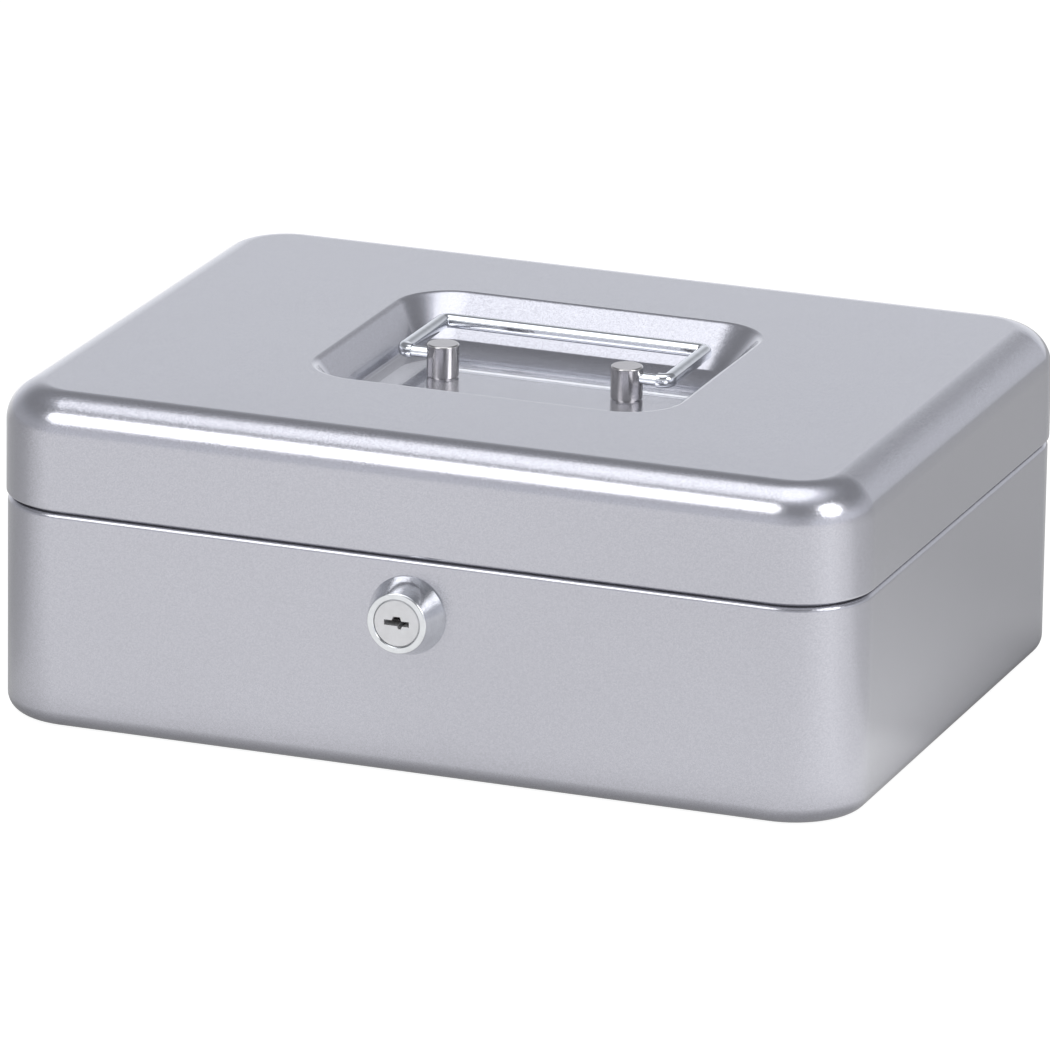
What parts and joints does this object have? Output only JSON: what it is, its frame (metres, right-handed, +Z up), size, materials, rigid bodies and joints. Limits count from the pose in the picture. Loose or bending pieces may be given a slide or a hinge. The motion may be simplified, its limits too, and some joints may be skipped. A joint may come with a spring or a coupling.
{
  "type": "cash box",
  "caption": "Lockable pressed-steel cash box with a hinged lid, a folding carrying handle sunk in the lid, a front key lock and a lift-out coin tray.",
  "frame": {"origin": "centre of the base's footprint, on the surface it stands on", "axes": "+X to the right along the width, +Y to the back towards the hinges, +Z up"},
  "size_m": [0.25, 0.2026, 0.094],
  "materials": {
    "silver_lacquer": "glossy silver metallic stove lacquer",
    "chrome_plate": "bright chrome plate",
    "satin_nickel": "satin nickel plate on turned steel",
    "die_cast_zinc": "plain die-cast zinc, matt",
    "zinc_plate": "clear zinc plate on steel",
    "brass_wafer": "stamped brass",
    "spring_steel": "drawn spring wire",
    "tray_plastic": "fine-grained moulded plastic"
  },
  "bodies": {
    "base": {"base_shell": "silver_lacquer", "hinge_base_leaf_left": "zinc_plate", "hinge_base_leaf_right": "zinc_plate", "hinge_pin_left": "zinc_plate", "hinge_pin_right": "zinc_plate", "lock_housing": "chrome_plate", "lock_washer": "zinc_plate", "lock_nut": "zinc_plate"},
    "lid": {"lid_shell": "silver_lacquer", "striker_bracket": "zinc_plate", "hinge_lid_leaf_left": "zinc_plate", "hinge_lid_leaf_right": "zinc_plate", "handle_post_left": "satin_nickel", "handle_post_right": "satin_nickel", "post_washer_left": "zinc_plate", "post_washer_right": "zinc_plate", "post_screw_left": "zinc_plate", "post_screw_right": "zinc_plate"},
    "handle": {"handle_bail": "chrome_plate"},
    "lock": {"lock_plug": "die_cast_zinc", "wafer_tumblers": "brass_wafer", "tumbler_springs": "spring_steel", "stop_washer": "zinc_plate", "lock_cam": "zinc_plate", "spring_washer": "zinc_plate", "cam_screw": "zinc_plate"},
    "tray": {"coin_tray": "tray_plastic"}
  },
  "joints": [
    {"name": "lid_hinge", "type": "hinge", "parent": "base", "child": "lid", "pos_m": [0, 0.095, 0.062], "axis": [-1, 0, 0], "range_deg": [0, 105]},
    {"name": "handle_swing", "type": "hinge", "parent": "lid", "child": "handle", "pos_m": [0, 0, 0.0904], "axis": [1, 0, 0], "range_deg": [0, 180]},
    {"name": "lock_turn", "type": "hinge", "parent": "base", "child": "lock", "pos_m": [0, -0.0946, 0.046], "axis": [0, 1, 0], "range_deg": [0, 90]},
    {"name": "tray_lift", "type": "slide", "parent": "base", "child": "tray", "axis": [0, 0, 1], "range_m": [0, 0.009]}
  ]
}
